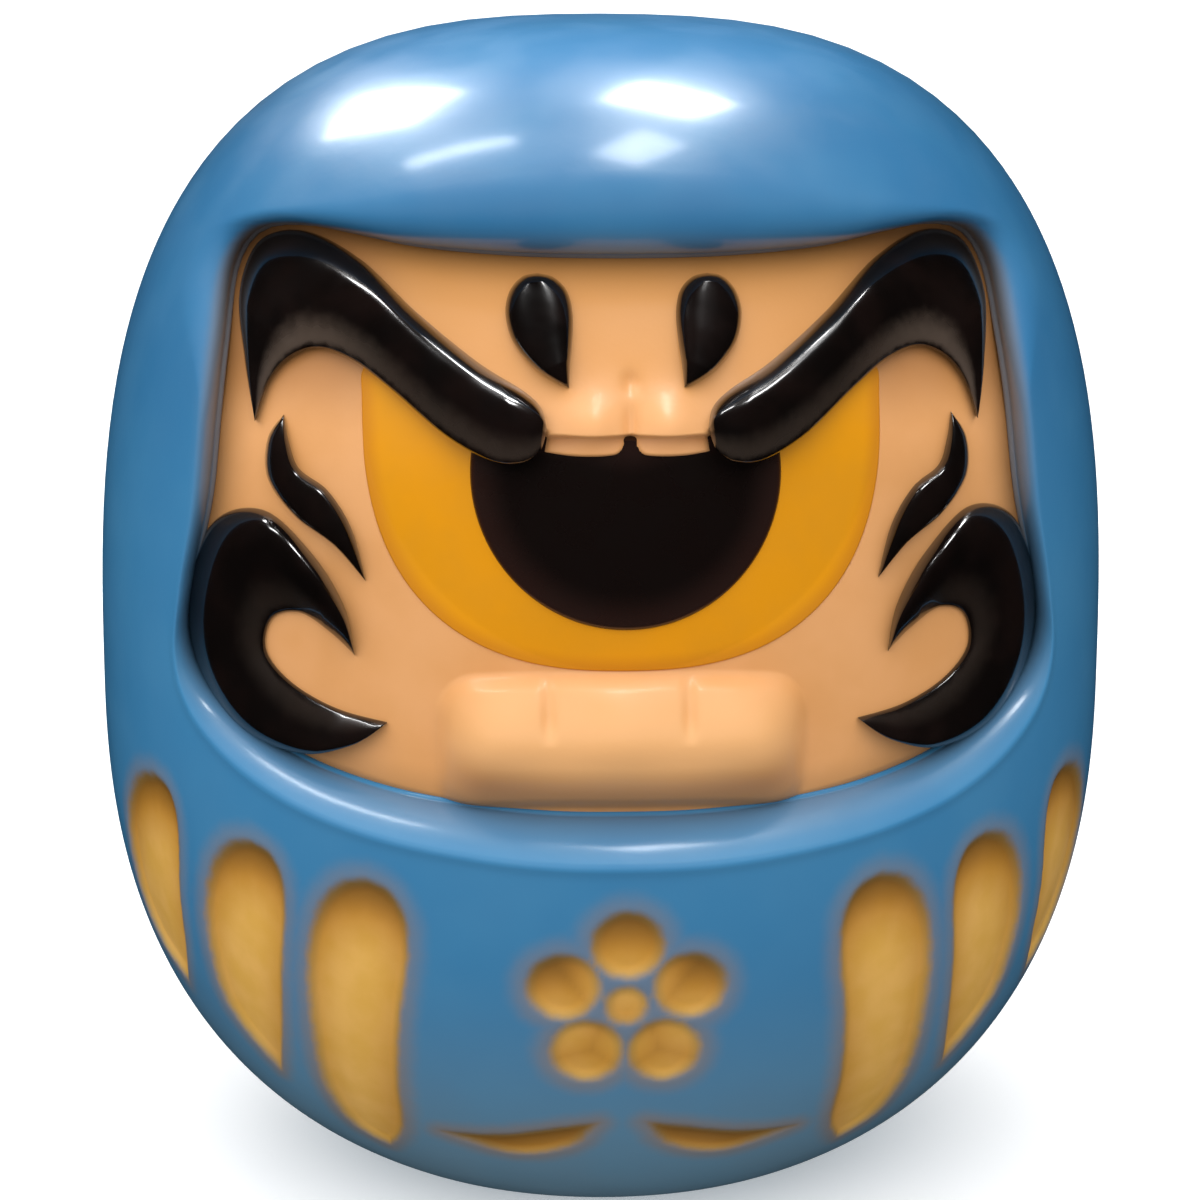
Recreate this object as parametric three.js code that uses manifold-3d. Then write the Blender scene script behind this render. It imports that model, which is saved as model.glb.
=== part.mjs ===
// A daruma doll: a hollow vinyl figure that stands on a small flat base.
// A hooded shell carries a face plate with glossy black inserts, and a weight sits on the base plug.
// Millimetres, +Z up, the face looks along -Y, the origin is the middle of the base.
import * as THREE from "three";
import Module from "manifold-3d";

const wasm = await Module();
wasm.setup();

// Body: a rounded egg, wider than deep, cut flat at the bottom.
const HEIGHT = 150;
const HALF_WIDTH = 66;
const DEPTH_RATIO = 0.97;
const WAIST_HEIGHT = 65;
const BELOW_BASE = 5;
const UPPER_POWER = 2.8;
const LOWER_POWER = 2.4;
const BASE_BLEND = 2;
const WALL = 2.5;

// Clearance that any two touching pieces keep.
const GAP = 0.3;

// Face opening in front view: right half, from the top middle down to the bottom middle.
const OPENING = [
  [0, 123.7], [12, 123.8], [24, 124.4], [32, 125.5], [38, 126], [43.2, 124.9], [46.2, 120.6], [47.3, 112],
  [48.2, 104], [49.3, 94], [51.4, 84], [52.2, 76.5], [50.2, 71], [45, 66.6], [37.6, 63.2], [28.6, 61],
  [19.5, 59.9], [9.5, 59.2], [0, 59.1],
];
const OPENING_TOP = 125;
const COLUMNS = 60;
const BODY_ROWS = 15;

// The opening's rolled edge: its width, how far it goes back, and how round it is. It is narrow at the
// sides, and turns into a broad roll under the hood and a bevel at the collar over these heights.
const LIP_SIDE = { width: 3.5, depth: 5.5, power: 1.6 };
const LIP_HOOD = { width: 12, depth: 9, power: 2 };
const LIP_COLLAR = { width: 4.6, depth: 6.5, power: 1.3 };
const HOOD_HEIGHTS = [105, 123];
const COLLAR_HEIGHTS = [62, 75];
const LIP_THICKNESS = 1.2;

// Eye: a yellow dome with a round pupil, both cut off by the nose and the brows above.
const EYE_CENTRE = 107;
const EYE_RADIUS = 30.5;
const EYE_POWER = 2.6;
const EYE_TOP = [[-30.4, 109], [-26.8, 106], [-20.8, 102.2], [-14.9, 99.7], [-7, 100.6], [0, 100.7]];
const PUPIL_CENTRE = 99.5;
const PUPIL_RADIUS = 18;
const PUPIL_THICKNESS = 1.6;
const PUPIL_CUT = 1.2;
const EYE_BULGE = 1.6;
const EYE_SEAT = 1.6;

// Face plate: how far the cheeks and the forehead lie behind the body's surface, and how much further
// they are under the hood and the forehead is at its sides.
const PLATE_RINGS = 15;
const PLATE_BACK_RINGS = 3;
const PLATE_THICKNESS = 3.2;
const PLATE_BACKING = 2;
const PLATE_FLANGE = 3;
const FLANGE_SHARES = [0.86, 0.95];
const CHEEK_SETBACK = 6.8;
const CHEEK_UNDER_HOOD = 3.6;
const CHEEK_LEVEL_TO = 98;
const NOSE_BOTTOM = 103;
const NOSE_SETBACK = 2;
const FOREHEAD_UNDER_HOOD = 8.4;
const FOREHEAD_AT_SIDES = 4;
const FOREHEAD_SIDES = [12, 42];

// The forehead's edge: its half width at a height, how fast it widens upwards, and how soft the edge is.
const WEDGE_HALF_WIDTH = 9;
const WEDGE_HEIGHT = 103.5;
const WEDGE_SLOPE = 1.55;
const WEDGE_LEAN = 0.55;
const WEDGE_SOFTNESS = 1.2;

const MOUTH_HALF_WIDTH = 21;
const MOUTH_LOW = 62;
const MOUTH_HIGH = 76;
const MOUTH_HEIGHT = 5;
const MOUTH_ROUNDING = [-1, 3];
const MOUTH_CREASES = [-9.1, 7.2];
const CREASE_HALF_WIDTH = 1.5;
const CREASE_SHARE = 0.2;
const CREASE_FOOT = [69, 72];

// Black inserts, right side: outer edge, then inner edge, from one end to the other.
const INSERTS = {
  brow: {
    outer: [[9.2, 105], [10.2, 107.6], [12.4, 109.3], [17, 111.7], [24, 116.5], [30.8, 121.8], [37.4, 124.2],
      [42.6, 122.6], [44.8, 117.5], [44.4, 110], [43.2, 103.8]],
    inner: [[9.2, 105], [10.3, 102.8], [12.4, 101.7], [15.4, 101.7], [20.8, 104.1], [27, 108.6],
      [31.5, 111.4], [35.6, 112.4], [39, 111.1], [41.5, 108.2], [43.2, 103.8]],
    rows: 18,
    proud: 3.4,
  },
  forehead_drop: {
    outer: [[9.9, 121], [11.7, 120.6], [13.1, 119.1], [13.5, 117], [12.6, 114], [10, 111.3], [6.6, 109.4]],
    inner: [[9.9, 121], [8.1, 120.6], [6.7, 119.3], [6.1, 117.2], [6.2, 114.5], [6.5, 112], [6.6, 109.4]],
    rows: 8,
    proud: 1.8,
  },
  cheek_flick: {
    outer: [[39.9, 103], [41.9, 100.8], [41.8, 96.6], [38.4, 92.6], [34, 89.8], [30.8, 86.2]],
    inner: [[39.9, 103], [39.2, 101], [38, 98.2], [34.6, 96], [32.2, 91.8], [30.8, 86.2]],
    rows: 9,
    proud: 1.8,
  },
  cheek_swirl: {
    outer: [[31.6, 76.9], [32.7, 82.4], [36.4, 87.9], [42, 91.9], [47.3, 89.3], [50.1, 81.5], [49.3, 73.4],
      [45.2, 67.9], [38.8, 65.7], [32.5, 66.6], [27.9, 69.2]],
    inner: [[31.6, 76.9], [34.6, 79.2], [38.2, 80.9], [41.4, 79.8], [42.1, 76.2], [39.2, 73], [34, 70.5],
      [27.9, 69.2]],
    rows: 20,
    proud: 3.2,
  },
};
const INSERT_SEAT = 1;
const INSERT_TIP = 0.5;
const INSERT_UPRIGHT = 0.35;
const INSERT_TAPER = 0.06;
const POCKET_HEIGHT = 20;

// Sunken gold marks on the belly: three blades a side, a five-petalled blossom and two leaves below it.
const MARK_DEPTH = 0.8;
const CUTTER_HEIGHT = 2;
const BLADES = [
  {
    outer: [[30.5, 51.5], [33.6, 50.6], [36.2, 47.4], [37.6, 42.4], [38, 35], [36.8, 22], [33.4, 14],
      [28.4, 10.6]],
    inner: [[30.5, 51.5], [27.8, 50.4], [25.9, 47], [25.6, 42], [26.7, 33], [27, 24], [26.6, 15.5],
      [28.4, 10.6]],
  },
  {
    outer: [[44.6, 53.6], [47.4, 52.6], [49.6, 49.4], [50.7, 44.6], [50.7, 38], [48.5, 28.4], [42, 20]],
    inner: [[44.6, 53.6], [42.2, 52.6], [40.7, 49.6], [40.4, 45], [41, 38], [41.4, 28], [42, 20]],
  },
  {
    outer: [[57.3, 58], [59.5, 56.8], [61.2, 53.2], [61.8, 48], [61, 40.5], [58.6, 33.5], [54.2, 28.6]],
    inner: [[57.3, 58], [55.4, 57], [54.3, 54], [54.1, 49.4], [54.3, 43], [54, 35], [54.2, 28.6]],
  },
];
const LEAF = {
  outer: [[3, 19.5], [8, 18.4], [15, 16.6], [22, 16]],
  inner: [[3, 19.5], [6, 15.2], [13, 13.2], [22, 16]],
};
const BLOSSOM_CENTRE = 37;
const PETALS = 5;
const PETAL_RADIUS = 4.4;
const PETAL_DISTANCE = 7.9;
const BLOSSOM_EYE_RADIUS = 2.6;

// Base plug: a cup pressed into the hole in the base, with the weight standing in it. The base is flat
// for a short way round the hole.
const BASE_HOLE_RADIUS = 18;
const BASE_FLAT = 5;
const PLUG_CLEARANCE = 0.4;
const PLUG_FLOOR = 3;
const PLUG_HEIGHT = 9;
const PLUG_WALL = 2.4;
const PLUG_EDGE = 1.2;
const WEIGHT_RADIUS = 14;
const WEIGHT_HEIGHT = 10;
const WEIGHT_CHAMFER = 1;
const ROUND_SEGMENTS = 40;

const smoothstep = THREE.MathUtils.smoothstep;
const lerp = THREE.MathUtils.lerp;

// ---- the body surface ----

// Distance from the body's centre to its surface along a unit direction: a superellipsoid whose upper
// and lower halves have their own power, held back by the plane of the base with a small fillet.
function bodyRadius(d) {
  const power = d.z > 0 ? UPPER_POWER : LOWER_POWER;
  const reach = d.z > 0 ? HEIGHT - WAIST_HEIGHT : WAIST_HEIGHT + BELOW_BASE;
  const across = Math.hypot(d.x, d.y / DEPTH_RATIO) / HALF_WIDTH;
  const round = (across ** power + (Math.abs(d.z) / reach) ** power) ** (-1 / power);
  if (d.z > -1e-6) return round;
  const flat = WAIST_HEIGHT / -d.z;
  const blend = Math.max(BASE_BLEND - Math.abs(round - flat), 0);
  return Math.min(round, flat) - blend ** 2 / (4 * BASE_BLEND);
}

// Half width of the body at a height, and the depth of its front surface at a point of the front view.
function halfWidthAt(z) {
  const power = z > WAIST_HEIGHT ? UPPER_POWER : LOWER_POWER;
  const reach = z > WAIST_HEIGHT ? HEIGHT - WAIST_HEIGHT : WAIST_HEIGHT + BELOW_BASE;
  return HALF_WIDTH * (1 - (Math.abs(z - WAIST_HEIGHT) / reach) ** power) ** (1 / power);
}
function frontDepth(x, z) {
  return -DEPTH_RATIO * Math.sqrt(Math.max(halfWidthAt(z) ** 2 - x ** 2, 0));
}

// ---- solids from rings of points ----

// A closed solid skinned over a run of rings. A ring of one point closes an end; a looped run joins its
// last ring to its first.
function loft(rings, looped = false) {
  const points = [];
  const starts = rings.map((ring) => {
    points.push(...ring);
    return points.length - ring.length;
  });
  const triangles = [];
  const count = Math.max(...rings.map((ring) => ring.length));
  const pairs = looped ? rings.length : rings.length - 1;
  for (let i = 0; i < pairs; i++) {
    const next = (i + 1) % rings.length;
    for (let j = 0; j < count; j++) {
      const at = (r, k) => starts[r] + (rings[r].length === 1 ? 0 : k % count);
      if (rings[i].length > 1) triangles.push(at(i, j), at(i, j + 1), at(next, j));
      if (rings[next].length > 1) triangles.push(at(i, j + 1), at(next, j + 1), at(next, j));
    }
  }
  let volume = 0;
  for (let t = 0; t < triangles.length; t += 3) {
    const [a, b, c] = triangles.slice(t, t + 3).map((k) => points[k]);
    volume += a.dot(b.clone().cross(c));
  }
  if (volume < 0) triangles.reverse();
  return new wasm.Manifold(
    new wasm.Mesh({
      numProp: 3,
      vertProperties: new Float32Array(points.flatMap((p) => p.toArray())),
      triVerts: new Uint32Array(triangles),
    }),
  );
}

function meshOf(name, solid, material) {
  const { numProp, vertProperties, triVerts } = solid.getMesh();
  const positions = new Float32Array((vertProperties.length / numProp) * 3);
  for (let i = 0; i * 3 < positions.length; i++)
    positions.set(vertProperties.subarray(i * numProp, i * numProp + 3), i * 3);
  const geometry = new THREE.BufferGeometry();
  geometry.setAttribute("position", new THREE.BufferAttribute(positions, 3));
  geometry.setIndex(new THREE.BufferAttribute(triVerts, 1));
  const mesh = new THREE.Mesh(geometry.toNonIndexed(), material);
  mesh.geometry.computeVertexNormals();
  mesh.name = name;
  return mesh;
}

// A ribbon is the flat shape between two edges that share both ends. Each row holds the middle of the
// shape, the direction across it and its half width, grown all round by an allowance.
function ribbonRows({ outer, inner, rows = 12 }, side = 1, grow = 0) {
  const edge = (points) =>
    new THREE.SplineCurve(points.map(([x, z]) => new THREE.Vector2(side * x, z))).getSpacedPoints(rows);
  const a = edge(outer);
  const b = edge(inner);
  const middles = a.map((p, i) => p.clone().lerp(b[i], 0.5));
  return a.map((p, i) => {
    const end = i === 0 || i === rows;
    const near = Math.min(Math.max(i, 1), rows - 1);
    const along = middles[Math.min(i + 1, rows)].clone().sub(middles[Math.max(i - 1, 0)]).normalize();
    const across = b[near].clone().sub(a[near]).normalize();
    const middle = middles[i].clone();
    if (end) {
      const turned = new THREE.Vector2(-along.y, along.x);
      across.copy(turned.multiplyScalar(Math.sign(turned.dot(across))));
      middle.addScaledVector(along, i === 0 ? -grow : grow);
    }
    const half = Math.max(p.distanceTo(b[i]) / 2, INSERT_TIP / 2) + grow;
    return { middle, across, half, share: i / rows };
  });
}

// The solid over a ribbon between a front and a back. place(x, z, height) gives the point in space;
// front and back give heights from the place across the ribbon (-1 to 1) and along it (0 to 1).
const ACROSS_FRONT = [-1, -0.75, -0.3, 0.3, 0.75, 1];
const ACROSS_BACK = [1, 0, -1];
function slab(rows, place, front, back) {
  const rings = rows.map(({ middle, across, half, share }) => {
    const at = (t, height) => place(middle.x + across.x * half * t, middle.y + across.y * half * t, height);
    return [
      ...ACROSS_FRONT.map((t) => at(t, front(t, share))),
      ...ACROSS_BACK.map((t) => at(t, back)),
    ];
  });
  const cap = (ring) => ring.reduce((sum, p) => sum.add(p), new THREE.Vector3()).divideScalar(ring.length);
  return loft([[cap(rings[0])], ...rings, [cap(rings[rings.length - 1])]]);
}

// ---- the face opening and the shell around it ----

// The opening's outline, walked once round from the top middle.
const openingCurve = new THREE.SplineCurve(
  [...OPENING, ...OPENING.slice(1, -1).reverse().map(([x, z]) => [-x, z]), OPENING[0]]
    .map(([x, z]) => new THREE.Vector2(x, z)),
);
const openingOutline = openingCurve.getSpacedPoints(COLUMNS).slice(0, COLUMNS);

// Directions from the body's centre, flattened from below onto a disc whose rim is the base hole.
const HOLE_REACH = Math.tan((Math.PI - Math.atan(BASE_HOLE_RADIUS / WAIST_HEIGHT)) / 2);
function toDisc(p) {
  const d = p.clone().sub(new THREE.Vector3(0, 0, WAIST_HEIGHT)).normalize();
  const reach = Math.tan(Math.acos(d.z) / 2) / HOLE_REACH;
  const turn = Math.atan2(d.x, -d.y);
  return [reach * Math.cos(turn), reach * Math.sin(turn)];
}
function fromDisc([re, im]) {
  const tilt = 2 * Math.atan(Math.hypot(re, im) * HOLE_REACH);
  const turn = Math.atan2(im, re);
  const out = Math.sin(tilt);
  const d = new THREE.Vector3(out * Math.sin(turn), -out * Math.cos(turn), Math.cos(tilt));
  return new THREE.Vector3(0, 0, WAIST_HEIGHT).addScaledVector(d, bodyRadius(d));
}

// The disc is shifted so that the face is its middle; it keeps its rim. Shifting by the opposite amount
// undoes it: (z - a) / (1 - a z).
const FACE_MIDDLE = new THREE.Vector2(0, 92);
const [FACE_CENTRE] = toDisc(new THREE.Vector3(0, frontDepth(0, FACE_MIDDLE.y), FACE_MIDDLE.y));
function shiftDisc([re, im], a) {
  const [nr, ni, dr, di] = [re - a, im, 1 - a * re, -a * im];
  const size = dr * dr + di * di;
  return [(nr * dr + ni * di) / size, (ni * dr - nr * di) / size];
}

// A column of the body runs from a point of the opening's outline over the body to the base hole. It
// answers with its length and with its point at a distance along the surface.
const COLUMN_STEPS = 200;
function bodyColumn(outlinePoint) {
  const [re, im] = shiftDisc(
    toDisc(new THREE.Vector3(outlinePoint.x, frontDepth(outlinePoint.x, outlinePoint.y), outlinePoint.y)),
    FACE_CENTRE,
  );
  const pointAt = (share) => {
    const scale = Math.hypot(re, im) ** -share;
    return fromDisc(shiftDisc([re * scale, im * scale], -FACE_CENTRE));
  };
  const walked = [0];
  for (let i = 1; i <= COLUMN_STEPS; i++) {
    const step = pointAt(i / COLUMN_STEPS).distanceTo(pointAt((i - 1) / COLUMN_STEPS));
    walked.push(walked[i - 1] + step);
  }
  const length = walked[COLUMN_STEPS];
  const at = (distance) => {
    const i = Math.max(walked.findIndex((w) => w >= distance), 1);
    const share = (i - 1 + (distance - walked[i - 1]) / (walked[i] - walked[i - 1])) / COLUMN_STEPS;
    return pointAt(distance >= length ? 1 : share);
  };
  return { length, at };
}

// The rolled edge at a height of the opening's outline.
function lipAt(z) {
  const hood = smoothstep(z, ...HOOD_HEIGHTS);
  const collar = 1 - smoothstep(z, ...COLLAR_HEIGHTS);
  const mixed = (key) =>
    LIP_SIDE[key] + (LIP_HOOD[key] - LIP_SIDE[key]) * hood + (LIP_COLLAR[key] - LIP_SIDE[key]) * collar;
  return { width: mixed("width"), depth: mixed("depth"), power: mixed("power") };
}

// How far the edge lies behind the body at a distance from the outline: a quarter of a superellipse.
function lipDepth({ width, depth, power }, distance) {
  const left = Math.max(1 - distance / width, 0);
  return depth * (1 - (1 - left ** power) ** (1 / power));
}

// The shell's outer and inner faces share their columns and, past the lip, their rows.
const LIP_SHARES = [0, 0.06, 0.22, 0.5, 1];
const INNER_REACH = 9;
const ON_BASE = 0.01;
function bodyShell() {
  const waist = new THREE.Vector3(0, 0, WAIST_HEIGHT);
  const up = new THREE.Vector3(0, 0, 1);
  const outer = [];
  const inner = [];
  for (const start of openingOutline) {
    const lip = lipAt(start.y);
    const column = bodyColumn(start);
    const place = (distance, back, thickness) => {
      const p = column.at(distance);
      const inward = p.z < ON_BASE ? up : waist.clone().sub(p).normalize();
      p.addScaledVector(inward, thickness);
      p.y += back;
      return p;
    };
    const distances = LIP_SHARES.map((share) => share * lip.width);
    for (let row = 1; row <= BODY_ROWS; row++)
      distances.push(lerp(lip.width, column.length - BASE_FLAT, row / BODY_ROWS));
    distances.push(column.length);
    outer.push(distances.map((distance) => place(distance, lipDepth(lip, distance), 0)));
    inner.push(
      distances.map((distance) => {
        const settled = smoothstep(distance, 0, lip.width + INNER_REACH);
        return place(distance, (lip.depth + LIP_THICKNESS) * (1 - settled), WALL * settled);
      }),
    );
  }
  const rings = (columns) => columns[0].map((_, row) => columns.map((column) => column[row]));
  return loft([...rings(outer), ...rings(inner).reverse()], true);
}

// ---- gold marks sunk into the belly ----

// A point of the body at a place in the front view, raised from it level with the ground.
function onBody(x, z, height) {
  const scale = 1 + height / halfWidthAt(z);
  return new THREE.Vector3(x * scale, frontDepth(x, z) * scale, z);
}
function roundRibbon(x, z, radius) {
  const half = (turn) => [0, 0.25, 0.5, 0.75, 1].map((share) => {
    const angle = Math.PI * (0.5 - turn * share);
    return [x + radius * Math.cos(angle), z + radius * Math.sin(angle)];
  });
  return { outer: half(1), inner: half(-1), rows: 8 };
}
function markCutters() {
  const cutter = (shape, side) => slab(ribbonRows(shape, side), onBody, () => CUTTER_HEIGHT, -MARK_DEPTH);
  const cutters = [-1, 1].flatMap((side) => [...BLADES, LEAF].map((shape) => cutter(shape, side)));
  cutters.push(cutter(roundRibbon(0, BLOSSOM_CENTRE, BLOSSOM_EYE_RADIUS), 1));
  for (let i = 0; i < PETALS; i++) {
    const turn = Math.PI / 2 + (2 * Math.PI * i) / PETALS;
    const x = PETAL_DISTANCE * Math.cos(turn);
    const z = BLOSSOM_CENTRE + PETAL_DISTANCE * Math.sin(turn);
    cutters.push(cutter(roundRibbon(x, z, PETAL_RADIUS), 1));
  }
  return cutters;
}

// ---- the face plate ----

// How far the cheeks, and the forehead with the nose, lie behind the body surface.
function cheekSetback(z) {
  return CHEEK_SETBACK + CHEEK_UNDER_HOOD * smoothstep(z, CHEEK_LEVEL_TO, OPENING_TOP);
}
function foreheadSetback(x, z) {
  const rise = THREE.MathUtils.clamp((z - NOSE_BOTTOM) / (OPENING_TOP - NOSE_BOTTOM), 0, 1);
  const aside = smoothstep(Math.abs(x), ...FOREHEAD_SIDES);
  return NOSE_SETBACK + FOREHEAD_UNDER_HOOD * rise + FOREHEAD_AT_SIDES * (1 - rise) * aside;
}

// The forehead is a wedge between the middle lines of the brows; its low end is the nose.
function foreheadShare(x, z) {
  const browLine = WEDGE_HALF_WIDTH + (z - WEDGE_HEIGHT) * WEDGE_SLOPE;
  const inside = Math.min((browLine - Math.abs(x)) * WEDGE_LEAN, z - NOSE_BOTTOM);
  return smoothstep(inside, -WEDGE_SOFTNESS, WEDGE_SOFTNESS);
}

// The mouth is a rounded bar with two upright creases.
function mouthRise(x, z) {
  const inX = MOUTH_HALF_WIDTH - Math.abs(x);
  const inZ = Math.min(z - MOUTH_LOW, MOUTH_HIGH - z);
  const rise = Math.min(smoothstep(inX, ...MOUTH_ROUNDING), smoothstep(inZ, ...MOUTH_ROUNDING));
  const off = MOUTH_CREASES.map((at) => smoothstep(Math.abs(x - at), 0, CREASE_HALF_WIDTH));
  const crease = (1 - Math.min(...off)) * smoothstep(z, ...CREASE_FOOT);
  return MOUTH_HEIGHT * rise * (1 - CREASE_SHARE * crease);
}
function faceSetback(x, z) {
  return lerp(cheekSetback(z), foreheadSetback(x, z), foreheadShare(x, z)) - mouthRise(x, z);
}

// A point of the face, a height in front of a level behind the body surface.
function onFace(level) {
  return (x, z, height) => new THREE.Vector3(x, frontDepth(x, z) + level(x, z) - height, z);
}

// The plate runs out to a flange behind the opening's edge. Its rings lie at shares of the way there.
function facePlate() {
  const middle = FACE_MIDDLE;
  const edge = openingOutline.map((p) => {
    const out = p.clone().sub(middle).normalize().multiplyScalar(PLATE_FLANGE);
    return { at: p.clone().add(out), behindLip: lipAt(p.y).depth + LIP_THICKNESS + 2 * GAP };
  });
  const place = (p, level) => new THREE.Vector3(p.x, frontDepth(p.x, p.y) + level, p.y);
  const ring = (share, levelAt) =>
    edge.map(({ at, behindLip }) => {
      const p = middle.clone().lerp(at, share);
      return place(p, levelAt(p, behindLip));
    });
  const rearLevel = (p) => cheekSetback(p.y) + PLATE_BACKING + PLATE_THICKNESS;
  const front = [];
  for (let i = 1; i <= PLATE_RINGS; i++) {
    const hidden = smoothstep(i / PLATE_RINGS, ...FLANGE_SHARES);
    front.push(
      ring(i / PLATE_RINGS, (p, behindLip) => {
        const level = faceSetback(p.x, p.y);
        return lerp(level, Math.max(behindLip, level), hidden);
      }),
    );
  }
  const rear = [ring(1, (p, behindLip) => behindLip + PLATE_THICKNESS)];
  for (let i = PLATE_BACK_RINGS - 1; i >= 1; i--) rear.push(ring(i / PLATE_BACK_RINGS, rearLevel));
  const frontMiddle = place(middle, faceSetback(middle.x, middle.y));
  return loft([[frontMiddle], ...front, ...rear, [place(middle, rearLevel(middle))]]);
}

// ---- pieces set into the face plate ----

// Each insert is a pillow over its outline, with a short upright edge, seated a little into the face in a
// pocket that is larger by the clearance.
function pillow(proud) {
  return (t, share) => {
    const round = INSERT_UPRIGHT + (1 - INSERT_UPRIGHT) * Math.sqrt(1 - t * t);
    const along = THREE.MathUtils.clamp(share, INSERT_TAPER, 1 - INSERT_TAPER);
    return proud * round * Math.sqrt(Math.sin(Math.PI * along));
  };
}
function pocket(shape, side, level, seat) {
  return slab(ribbonRows(shape, side, GAP), onFace(level), () => POCKET_HEIGHT, -seat - GAP);
}

// The eye's outline: a superellipse's lower half under the line of nose and brows.
function eyeShape() {
  const top = [...EYE_TOP, ...EYE_TOP.slice(0, -1).reverse().map(([x, z]) => [-x, z])];
  const bottom = [top[0]];
  const turns = 12;
  for (let i = 0; i <= turns; i++) {
    const angle = Math.PI + (Math.PI * i) / turns;
    const [across, down] = [Math.cos(angle), Math.sin(angle)].map(
      (v) => Math.sign(v) * EYE_RADIUS * Math.abs(v) ** (2 / EYE_POWER),
    );
    bottom.push([across, EYE_CENTRE + down]);
  }
  bottom.push(top[top.length - 1]);
  return { outer: bottom, inner: top, rows: 18 };
}
function pupilShape() {
  const start = Math.PI + Math.asin(-PUPIL_CUT / PUPIL_RADIUS);
  const bottom = [];
  const turns = 8;
  for (let i = 0; i <= turns; i++) {
    const angle = lerp(start, 3 * Math.PI - start, i / turns);
    bottom.push([PUPIL_RADIUS * Math.cos(angle), PUPIL_CENTRE + PUPIL_RADIUS * Math.sin(angle)]);
  }
  const top = bottom[0][1];
  return { outer: bottom, inner: [bottom[0], [0, top], bottom[turns]], rows: 14 };
}

// The level that each piece is set into, and the eye's dome over it.
const eyeLevel = (x, z) => cheekSetback(z);
const INSERT_LEVELS = {
  brow: foreheadSetback,
  forehead_drop: foreheadSetback,
  cheek_flick: eyeLevel,
  cheek_swirl: eyeLevel,
};
function eyeBulge(x, z) {
  return EYE_BULGE * Math.max(1 - (x * x + (z - EYE_CENTRE) ** 2) / (EYE_RADIUS * EYE_RADIUS), 0);
}

// ---- base plug and weight ----

function turned(profile) {
  const rings = profile.map(([r, z]) =>
    r === 0
      ? [new THREE.Vector3(0, 0, z)]
      : Array.from({ length: ROUND_SEGMENTS }, (_, i) => {
          const turn = (2 * Math.PI * i) / ROUND_SEGMENTS;
          return new THREE.Vector3(r * Math.cos(turn), r * Math.sin(turn), z);
        }),
  );
  return loft(rings);
}
function basePlug() {
  const radius = BASE_HOLE_RADIUS - PLUG_CLEARANCE;
  return turned([
    [0, 0],
    [radius - PLUG_EDGE, 0],
    [radius - PLUG_EDGE / 2, PLUG_EDGE / 2],
    [radius, PLUG_EDGE],
    [radius, PLUG_HEIGHT],
    [radius - PLUG_WALL, PLUG_HEIGHT],
    [radius - PLUG_WALL, PLUG_FLOOR],
    [0, PLUG_FLOOR],
  ]);
}
function counterweight() {
  const low = PLUG_FLOOR + GAP;
  const high = low + WEIGHT_HEIGHT;
  return turned([
    [0, low],
    [WEIGHT_RADIUS - WEIGHT_CHAMFER, low],
    [WEIGHT_RADIUS, low + WEIGHT_CHAMFER],
    [WEIGHT_RADIUS, high - WEIGHT_CHAMFER],
    [WEIGHT_RADIUS - WEIGHT_CHAMFER, high],
    [0, high],
  ]);
}

// ---- the doll ----

const material = (color, roughness, metalness = 0) =>
  new THREE.MeshStandardMaterial({ color, roughness, metalness });
const blueVinyl = material(0x3a7fae, 0.3);
const fleshVinyl = material(0xe0a868, 0.45);
const yellowVinyl = material(0xdf9a0c, 0.4);
const blackGloss = material(0x14100d, 0.12);
const plugVinyl = material(0x2c6489, 0.5);
const castIron = material(0x5a5a5c, 0.6, 0.9);

const doll = new THREE.Group();
doll.add(
  meshOf("body_shell", markCutters().reduce((solid, cut) => solid.subtract(cut), bodyShell()), blueVinyl),
);

const face = new THREE.Group();
doll.add(face);
let plate = facePlate().subtract(pocket(eyeShape(), 1, eyeLevel, EYE_SEAT));
const domed = (x, z, height) => onFace(eyeLevel)(x, z, height + eyeBulge(x, z));
const eye = slab(
  ribbonRows(eyeShape()),
  (x, z, height) => (height < 0 ? onFace(eyeLevel)(x, z, height) : domed(x, z, height)),
  () => 0,
  -EYE_SEAT,
);
face.add(meshOf("eye_dome", eye, yellowVinyl));
const pupil = slab(ribbonRows(pupilShape()), domed, () => GAP + PUPIL_THICKNESS, GAP);
face.add(meshOf("pupil_disc", pupil, blackGloss));

for (const [name, shape] of Object.entries(INSERTS)) {
  for (const [side, sideName] of [[1, "left"], [-1, "right"]]) {
    const level = INSERT_LEVELS[name];
    plate = plate.subtract(pocket(shape, side, level, INSERT_SEAT));
    const insert = slab(ribbonRows(shape, side), onFace(level), pillow(shape.proud), -INSERT_SEAT);
    face.add(meshOf(name + "_" + sideName, insert, blackGloss));
  }
}
face.add(meshOf("face_plate", plate, fleshVinyl));

const base = new THREE.Group();
doll.add(base);
base.add(meshOf("base_plug", basePlug(), plugVinyl));
base.add(meshOf("counterweight", counterweight(), castIron));

export default doll;
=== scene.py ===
import bpy
import numpy as np
from mathutils import Matrix, Vector


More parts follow.
